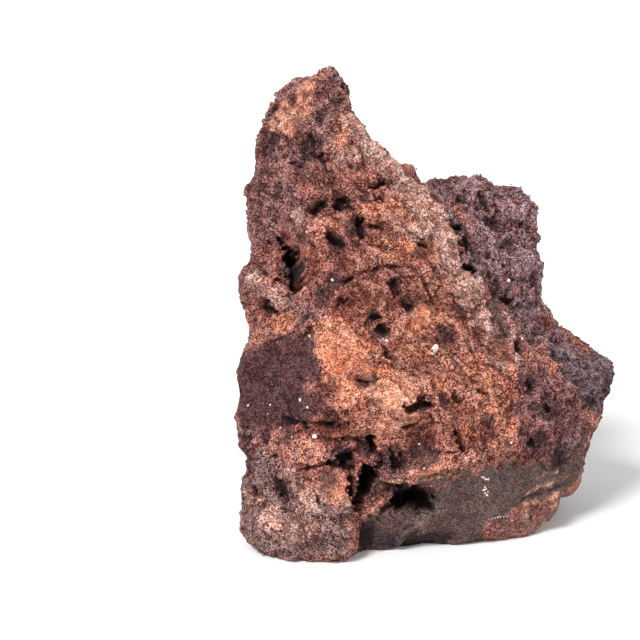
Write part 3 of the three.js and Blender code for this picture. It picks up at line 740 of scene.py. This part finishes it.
def hollows_and_ridges(bm, points):
    """From 0 to 1, how deep in a hollow and how high on a ridge each point is."""
    normals = np.array([v.normal for v in bm.verts])
    edges = np.array([[v.index for v in e.verts] for e in bm.edges])
    counts = np.bincount(edges.ravel(), minlength=len(points))[:, None]
    depth = np.zeros(len(points))
    mean = points
    for rounds in range(1, max(DEPTH_SCALES) + 1):
        mean = neighbour_mean(mean, edges, counts)
        if rounds in DEPTH_SCALES:
            depth += np.einsum("ij,ij->i", mean - points, normals) / DEPTH_SCALES[rounds]
    return smooth(depth / FULL_DEPTH), smooth(-depth / FULL_DEPTH)


def tint_of(regions, colours):
    """The rock's colour at each point, painted one region over another; the darkest spots among them are
    painted shade.
    """
    tint = np.tile(np.array(colours.rust), (len(regions["peak"]), 1))
    for name in PAINT_ORDER:
        share = regions[name][:, None] * (1 if name in COVERING else GLAZE)
        tint = tint * (1 - share) + np.array(getattr(colours, name)) * share
    return tint


def crumb_cover(regions):
    """How thickly crumbs lie at each point."""
    cover_here = np.ones(len(regions["peak"]))
    for name, wish in CRUMB_COVER.items():
        cover_here = cover_here * (1 - regions[name]) + wish * regions[name]
    return cover_here


def keep_values(mesh, name, values):
    layer = mesh.attributes.new(name, "FLOAT", "POINT")
    layer.data.foreach_set("value", values.astype(np.float32))


def keep_colours(mesh, name, values):
    layer = mesh.attributes.new(name, "FLOAT_COLOR", "POINT")
    opaque = np.column_stack([values, np.ones(len(values))])
    layer.data.foreach_set("color", opaque.astype(np.float32).ravel())


# Crumbs

def read_values(mesh, name):
    layer = mesh.attributes[name]
    colours = layer.data_type == "FLOAT_COLOR"
    values = np.zeros(len(layer.data) * (4 if colours else 1), np.float32)
    layer.data.foreach_get("color" if colours else "value", values)
    return values.reshape(-1, 4)[:, :3] if colours else values


def copy_attribute(source, target, name, picked):
    """Gives each crumb the values that the stone has where it lies."""
    values = read_values(source, name)[picked]
    (keep_colours if values.ndim == 2 else keep_values)(target, name, values)


def vertex_vectors(mesh, key):
    values = np.zeros(len(mesh.vertices) * 3, np.float32)
    mesh.vertices.foreach_get(key, values)
    return values.reshape(-1, 3).astype(float)


def random_turns(dice, count):
    """Rotation matrices, spread evenly over all directions."""
    turn = dice.normal(size=(count, 4))
    turn /= np.linalg.norm(turn, axis=1)[:, None]
    w, x, y, z = turn.T
    return np.array([
        [1 - 2 * (y * y + z * z), 2 * (x * y - z * w), 2 * (x * z + y * w)],
        [2 * (x * y + z * w), 1 - 2 * (x * x + z * z), 2 * (y * z - x * w)],
        [2 * (x * z - y * w), 2 * (y * z + x * w), 1 - 2 * (x * x + y * y)]]).transpose(2, 0, 1)


def bedded_crumbs(mesh, corners):
    """The places of every crumb's corners, and the stone's point that each takes its colour from."""
    count = 2 ** DOUBLINGS
    dice = np.random.default_rng(CRUMB_SEED)
    places, normals = vertex_vectors(mesh, "co"), vertex_vectors(mesh, "normal")
    chance = read_values(mesh, "crumby") * (1 - read_values(mesh, "hollow"))
    chance = chance * (places[:, 2] > CRUMB_FREE_FOOT * MM)
    picked = dice.choice(len(places), count, replace=False, p=chance / chance.sum())

    low, high = CRUMB_RADII
    radius = low * (high / low) ** (dice.random(count) ** CRUMB_SMALLNESS) * MM
    turns = random_turns(dice, count)
    stretched = corners[None] * dice.uniform(*CRUMB_STRETCH, (count, 1, 3))
    shape = stretched * dice.uniform(*CRUMB_RAGGED, (count, len(corners), 1))
    turned = np.einsum("nij,nkj->nki", turns, shape) * radius[:, None, None]
    moved = dice.normal(size=(count, 3)) * CRUMB_JITTER * MM
    middle = places[picked] + moved - normals[picked] * (CRUMB_SINK * radius)[:, None]
    return (middle[:, None] + turned).reshape(-1, 3), np.repeat(picked, len(corners))


# Shader nodes

def put(tree, kind, sockets=(), **settings):
    """Adds a node, sets its values and links the sockets that are given other nodes' outputs."""
    node = tree.nodes.new(kind)
    for key, value in settings.items():
        setattr(node, key, value)
    for key, value in dict(sockets).items():
        if isinstance(value, bpy.types.NodeSocket):
            tree.links.new(value, node.inputs[key])
        else:
            node.inputs[key].default_value = value
    return node


def mixed(tree, share, first, second, blend="MIX"):
    sockets = {0: share, 6: first, 7: second}
    return put(tree, "ShaderNodeMix", sockets, data_type="RGBA", blend_type=blend).outputs[2]


def maths(tree, operation, first, second=0.0):
    return put(tree, "ShaderNodeMath", {0: first, 1: second}, operation=operation).outputs[0]


def vector_maths(tree, operation, first, second):
    sockets = {0: first, "Scale" if operation == "SCALE" else 1: second}
    node = put(tree, "ShaderNodeVectorMath", sockets, operation=operation)
    return node.outputs["Value" if operation == "DOT_PRODUCT" else "Vector"]


def attribute(tree, name):
    return put(tree, "ShaderNodeAttribute", attribute_name=name).outputs


def stretch(tree, value, low, high, new_low=0.0, new_high=1.0):
    sockets = {"Value": value, "From Min": low, "From Max": high, "To Min": new_low, "To Max": new_high}
    return put(tree, "ShaderNodeMapRange", sockets, interpolation_type="SMOOTHSTEP").outputs[0]


def new_group(name, inputs, outputs):
    tree = bpy.data.node_groups.new(name, "ShaderNodeTree")
    for label, kind, default in inputs:
        socket = tree.interface.new_socket(label, in_out="INPUT", socket_type=kind)
        if default is not None:
            socket.default_value = default
    for label, kind in outputs:
        tree.interface.new_socket(label, in_out="OUTPUT", socket_type=kind)
    return tree, tree.nodes.new("NodeGroupInput").outputs, tree.nodes.new("NodeGroupOutput").inputs


def chip_level(tree, where, scale):
    """A random level for each chip of a broken texture."""
    chips = put(tree, "ShaderNodeTexVoronoi", {"Vector": where, "Scale": scale, "Randomness": 1.0})
    return put(tree, "ShaderNodeSeparateColor", {0: chips.outputs["Color"]}).outputs[0]


def centred_noise(tree, where, scale, detail, roughness):
    sockets = {"Vector": where, "Scale": scale, "Detail": detail, "Roughness": roughness}
    return maths(tree, "SUBTRACT", put(tree, "ShaderNodeTexNoise", sockets).outputs[0], 0.5)


def total(tree, parts, weights):
    """The sum of the parts that have a weight, each times its own."""
    result = 0.0
    for name, weight in weights.items():
        result = maths(tree, "ADD", result, maths(tree, "MULTIPLY", parts[name], weight))
    return result


def crack_lines(tree, where, scale, width):
    """Thin broken lines: 1 in the middle of a line."""
    wave = maths(tree, "ABSOLUTE", centred_noise(tree, where, scale, 3.0, 0.55))
    gate = stretch(tree, centred_noise(tree, where, scale * 0.6, 1.0, 0.5), -0.02, 0.05)
    return maths(tree, "MULTIPLY", stretch(tree, wave, width, 0.2 * width), gate)


def grain_group():
    """Grit, cracks and gas holes, with the painted shade and highlight that go with them, for every stone
    of the object.
    """
    outputs = ("Height", "Shade", "Dark", "Patch", "Cast", "Fleck")
    tree, given, result = new_group(
        "Stone grain",
        (("Vector", "NodeSocketVector", None),
         ("Calm", "NodeSocketFloat", 0.0), ("Layered", "NodeSocketFloat", 0.0)),
        [(label, "NodeSocketFloat") for label in outputs])
    rough = maths(tree, "SUBTRACT", 1.0, maths(tree, "MULTIPLY", given["Calm"], CALM_HEIGHT))
    bend = put(tree, "ShaderNodeTexNoise", {"Vector": given["Vector"], "Scale": 260.0, "Detail": 4.0})
    shift = vector_maths(tree, "SUBTRACT", bend.outputs["Color"], (0.5, 0.5, 0.5))
    bent = vector_maths(tree, "ADD", given["Vector"], vector_maths(tree, "SCALE", shift, 0.004))
    along = maths(tree, "MULTIPLY", vector_maths(tree, "DOT_PRODUCT", bent, LAYERS_RUN), 0.84)
    across = vector_maths(tree, "SUBTRACT", bent, vector_maths(tree, "SCALE", LAYERS_RUN, along))

    line = maths(tree, "MULTIPLY", centred_noise(tree, across, 330.0, 4.0, 0.6), given["Layered"])
    parts = {
        "large": chip_level(tree, bent, 240.0),
        "small": chip_level(tree, bent, 620.0),
        "grain": chip_level(tree, given["Vector"], 1600.0),
        "grit": centred_noise(tree, given["Vector"], 1800.0, 2.0, 0.7),
        "swell": centred_noise(tree, bent, 200.0, 5.0, 0.6),
        "mottle": centred_noise(tree, bent, 420.0, 2.0, 0.6),
        "line": line}

    dark = maths(
        tree, "MAXIMUM", crack_lines(tree, bent, 75.0, 0.016), crack_lines(tree, bent, 190.0, 0.03))
    seams = maths(tree, "MULTIPLY", crack_lines(tree, across, 210.0, 0.04), given["Layered"])
    wide = stretch(tree, centred_noise(tree, bent, 230.0, 3.0, 0.6), 0.10, 0.15)
    narrow = stretch(tree, centred_noise(tree, bent, 560.0, 2.0, 0.6), 0.13, 0.19)
    for more in (seams, wide, narrow):
        dark = maths(tree, "MAXIMUM", dark, more)
    dark = maths(tree, "MULTIPLY", dark, rough)

    height = maths(tree, "MULTIPLY", total(tree, parts, HEIGHT_WEIGHTS), rough)
    height = maths(tree, "SUBTRACT", height, maths(tree, "MULTIPLY", dark, DARK_DEPTH))
    results = {
        "Height": height,
        "Shade": stretch(tree, total(tree, parts, SHADE_WEIGHTS), 0.45, 2.25),
        "Dark": dark,
        "Patch": stretch(tree, centred_noise(tree, bent, 45.0, 7.0, 0.62), -0.07, 0.07),
        "Cast": stretch(tree, centred_noise(tree, bent, 120.0, 6.0, 0.7), -0.02, 0.10),
        "Fleck": stretch(tree, total(tree, parts, FLECK_WEIGHTS), 0.2, 0.8)}
    for label in outputs:
        tree.links.new(results[label], result[label])
    return tree


def new_material(name):
    material = bpy.data.materials.new(name)
    material.use_nodes = True
    material.node_tree.nodes.clear()
    return material, material.node_tree


def scoria_material(sizes, grain):
    material, tree = new_material("Red scoria")
    tint = attribute(tree, "tint")["Color"]
    calm = attribute(tree, "calm")["Fac"]
    where = put(tree, "ShaderNodeTexCoord").outputs["Object"]
    given = {"Vector": where, "Calm": calm, "Layered": attribute(tree, "layered")["Fac"]}
    fine = put(tree, "ShaderNodeGroup", node_tree=grain)
    for label, value in given.items():
        tree.links.new(value, fine.inputs[label])
    rough = maths(tree, "SUBTRACT", 1.0, maths(tree, "MULTIPLY", calm, CALM_COLOUR))

    def part(value, share):
        return maths(tree, "MULTIPLY", value, share)

    def times(colour, factors):
        return mixed(tree, 1.0, colour, (*factors, 1), "MULTIPLY")

    def tinged(colour, share, factors):
        return mixed(tree, share, colour, times(colour, factors))

    fleck = fine.outputs["Fleck"]
    # The grain's shades: partly its own colour, partly painted shade where it is low and painted highlight
    # where it is high.
    shades = put(tree, "ShaderNodeCombineColor", {
        number: stretch(tree, fine.outputs["Shade"], 0.0, 1.0, low, high)
        for number, (low, high) in enumerate(GRAIN_SHADES)}).outputs[0]
    colour = tinged(tint, part(fine.outputs["Patch"], rough), PATCH_TINGE)
    colour = mixed(tree, part(fine.outputs["Cast"], CAST_SHARE), colour, times(tint, CAST_TINGE))
    colour = mixed(tree, fleck, times(colour, WARM_FLECK), times(colour, COOL_FLECK))
    shaded = mixed(tree, 1.0, colour, shades, "MULTIPLY")
    colour = mixed(tree, part(rough, SHADE_SHARE), colour, shaded)
    # Painted highlight on the ridges.
    colour = tinged(colour, part(attribute(tree, "ridge")["Fac"], RIDGE_SHARE), PAINTED_RIDGE_HIGHLIGHT)
    # Painted shade in the fine cracks and pits.
    colour = tinged(colour, part(fine.outputs["Dark"], CRACK_SHARE), PAINTED_CRACK_SHADE)
    # Painted shade in the hollows, holes, cracks, pits and creases.
    colour = tinged(colour, attribute(tree, "hollow")["Fac"], PAINTED_HOLLOW_SHADE)

    sockets = {"Strength": 1.0, "Distance": sizes.grit, "Height": fine.outputs["Height"]}
    bump = put(tree, "ShaderNodeBump", sockets)
    shader = put(tree, "ShaderNodeBsdfPrincipled", {
        "Base Color": colour, "Normal": bump.outputs[0], "Specular IOR Level": 0.25,
        "Roughness": stretch(tree, fine.outputs["Shade"], 0.0, 1.0, 0.98, 0.84)})
    put(tree, "ShaderNodeOutputMaterial", {"Surface": shader.outputs[0]})
    return material


def crystal_material(colours):
    material, tree = new_material("White mineral")
    where = put(tree, "ShaderNodeTexCoord").outputs["Object"]
    cloud = put(tree, "ShaderNodeTexNoise", {"Vector": where, "Scale": 700.0, "Detail": 3.0}).outputs[0]
    pale = (*colours.crystal, 1)
    stained = tuple(c * f for c, f in zip(pale, STAIN_TINGE))
    colour = mixed(tree, stretch(tree, cloud, 0.42, 0.66), pale, stained)
    bump = put(tree, "ShaderNodeBump", {"Strength": 0.6, "Distance": 0.2 * MM, "Height": cloud})
    sockets = {"Base Color": colour, "Normal": bump.outputs[0], "Roughness": 0.6}
    shader = put(tree, "ShaderNodeBsdfPrincipled", sockets)
    put(tree, "ShaderNodeOutputMaterial", {"Surface": shader.outputs[0]})
    return material


def plain_material(name, colour, roughness):
    material = bpy.data.materials.new(name)
    material.use_nodes = True
    shader = material.node_tree.nodes["Principled BSDF"]
    shader.inputs["Base Color"].default_value = (*colour, 1)
    shader.inputs["Roughness"].default_value = roughness
    return material


# Operators

def finished(bm, name, material):
    """Turns a bmesh into a piece of the rock that rides on its body."""
    mesh = bpy.data.meshes.new(name)
    bm.to_mesh(mesh)
    bm.free()
    mesh.materials.append(material)
    piece = bpy.data.objects.new(name, mesh)
    bpy.context.scene.collection.objects.link(piece)
    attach(piece, "root")
    return piece


class LAVAROCK_OT_stone(bpy.types.Operator):
    """Carves the rock's fine surface over its solid and colours it"""

    bl_idname = "lavarock.stone"
    bl_label = "Carve stone"

    def execute(self, context):
        scene = context.scene
        noise.seed_set(NOISE_SEED)
        finder = Finder(scene.lava_studio)
        bm, points, regions, dark = carve_stone(scene.lava_sizes, finder)
        hollow, ridge = hollows_and_ridges(bm, points)
        material = scoria_material(scene.lava_sizes, grain_group())
        stone = finished(bm, "lava_stone", material)
        for face in stone.data.polygons:
            face.use_smooth = True
        keep_colours(stone.data, "tint", tint_of(regions, scene.lava_colours))
        # Painted shade: the hollows, holes, cracks, pits and creases are darkened in the colour.
        keep_values(stone.data, "hollow", np.maximum(HOLLOW_SHADE * hollow, dark))
        # The ridge attribute carries a painted highlight on the ridges.
        keep_values(stone.data, "ridge", ridge)
        keep_values(stone.data, "layered", front_layers(regions))
        keep_values(stone.data, "crumby", crumb_cover(regions))
        keep_values(stone.data, "calm", strongest(regions, CALM_SHADES))
        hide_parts(NODE)
        return {"FINISHED"}


class LAVAROCK_OT_crumbs(bpy.types.Operator):
    """Beds small angular crumbs in the rough parts of the stone"""

    bl_idname = "lavarock.crumbs"
    bl_label = "Bed crumbs"

    def execute(self, context):
        if "lava_stone" not in bpy.data.objects:
            raise RuntimeError("carve the stone first")
        stone = bpy.data.objects["lava_stone"]
        bm = bmesh.new()
        bmesh.ops.create_icosphere(bm, subdivisions=1, radius=1)
        corners = np.array([v.co for v in bm.verts])
        for _ in range(DOUBLINGS):
            bmesh.ops.duplicate(bm, geom=bm.verts[:] + bm.edges[:] + bm.faces[:])
        points, picked = bedded_crumbs(stone.data, corners)
        put_back(bm, points / MM)
        crumbs = finished(bm, "bedded_crumbs", stone.data.materials[0])
        # The crumbs carry the stone's painted shade and highlight along with its colour.
        for name in ("tint", "hollow", "ridge", "layered", "calm"):
            copy_attribute(stone.data, crumbs.data, name, picked)
        return {"FINISHED"}


class LAVAROCK_OT_crystals(bpy.types.Operator):
    """Sets the white mineral grains into the stone"""

    bl_idname = "lavarock.crystals"
    bl_label = "Set crystals"

    def execute(self, context):
        scene = context.scene
        if "lava_stone" not in bpy.data.objects:
            raise RuntimeError("carve the stone first")
        mesh = bpy.data.objects["lava_stone"].data
        tree = BVHTree.FromPolygons([v.co for v in mesh.vertices], [p.vertices for p in mesh.polygons])
        finder = Finder(scene.lava_studio)
        bm = bmesh.new()
        for x, y, radius in CRYSTALS:
            spot, _ = finder.place(x, y)
            centre, normal, _, _ = tree.find_nearest(Vector(spot) * MM)
            made = bmesh.ops.create_icosphere(bm, subdivisions=1, radius=radius * MM)["verts"]
            for vert in made:
                seed = vert.co / (radius * MM) + Vector((x, y, 0))
                vert.co *= 1 + CRYSTAL_RAGGED * noise.noise(seed)
                vert.co += centre - normal * CRYSTAL_SINK * radius * MM
        finished(bm, "mineral_grains", crystal_material(scene.lava_colours))
        return {"FINISHED"}


class LAVAROCK_OT_studio(bpy.types.Operator):
    """Sets up the pale floor, the soft lights and the camera"""

    bl_idname = "lavarock.studio"
    bl_label = "Set up studio"

    def execute(self, context):
        scene = context.scene
        studio = scene.lava_studio
        bm = bmesh.new()
        bmesh.ops.create_grid(bm, x_segments=1, y_segments=1, size=studio.floor_size / 2)
        mesh = bpy.data.meshes.new("studio_floor")
        bm.to_mesh(mesh)
        bm.free()
        mesh.materials.append(plain_material("Pale floor", studio.floor, 0.9))
        floor = bpy.data.objects.new("studio_floor", mesh)
        scene.collection.objects.link(floor)

        _, _, forward = view_axes(studio)
        camera = bpy.data.objects.new("camera", bpy.data.cameras.new("camera"))
        camera.data.lens = studio.lens
        camera.data.sensor_width = SENSOR
        camera.location = AIM - forward * studio.distance
        camera.rotation_euler = (math.radians(90) - studio.pitch, 0, 0)
        scene.collection.objects.link(camera)
        scene.camera = camera

        for name, place, power, softness in (
                ("key_light", Vector((-0.50, -0.75, 0.80)), studio.key, 20),
                ("fill_light", Vector((0.70, -0.55, 0.35)), studio.fill, 60)):
            light = bpy.data.objects.new(name, bpy.data.lights.new(name, "SUN"))
            light.data.energy = power
            light.data.angle = math.radians(softness)
            light.location = place
            light.rotation_euler = place.to_track_quat("Z", "Y").to_euler()
            scene.collection.objects.link(light)

        world = bpy.data.worlds.new("Pale studio")
        world.use_nodes = True
        world.node_tree.nodes["Background"].inputs["Color"].default_value = (1, 1, 1, 1)
        world.node_tree.nodes["Background"].inputs["Strength"].default_value = studio.glow
        scene.world = world
        scene.view_settings.view_transform = "Standard"
        return {"FINISHED"}


class LAVAROCK_PT_panel(bpy.types.Panel):
    """Lists the rock's operators and settings"""

    bl_label = "Lava Rock"
    bl_idname = "LAVAROCK_PT_panel"
    bl_space_type = "VIEW_3D"
    bl_region_type = "UI"
    bl_category = "Lava Rock"

    def draw(self, context):
        for settings in (context.scene.lava_sizes, context.scene.lava_colours, context.scene.lava_studio):
            box = self.layout.box()
            for key in settings.__annotations__:
                box.prop(settings, key)
        for operator in OPERATORS:
            self.layout.operator(operator.bl_idname)


OPERATORS = (LAVAROCK_OT_studio, LAVAROCK_OT_stone, LAVAROCK_OT_crumbs, LAVAROCK_OT_crystals)
CLASSES = (LavaRockSizes, LavaRockColours, LavaRockStudio, *OPERATORS, LAVAROCK_PT_panel)


def register():
    for cls in CLASSES:
        bpy.utils.register_class(cls)
    bpy.types.Scene.lava_sizes = PointerProperty(type=LavaRockSizes)
    bpy.types.Scene.lava_colours = PointerProperty(type=LavaRockColours)
    bpy.types.Scene.lava_studio = PointerProperty(type=LavaRockStudio)


def unregister():
    del bpy.types.Scene.lava_studio
    del bpy.types.Scene.lava_colours
    del bpy.types.Scene.lava_sizes
    for cls in reversed(CLASSES):
        bpy.utils.unregister_class(cls)


def main():
    register()
    bpy.ops.lavarock.studio()
    bpy.ops.lavarock.stone()
    bpy.ops.lavarock.crumbs()
    bpy.ops.lavarock.crystals()


if __name__ == "__main__":
    main()
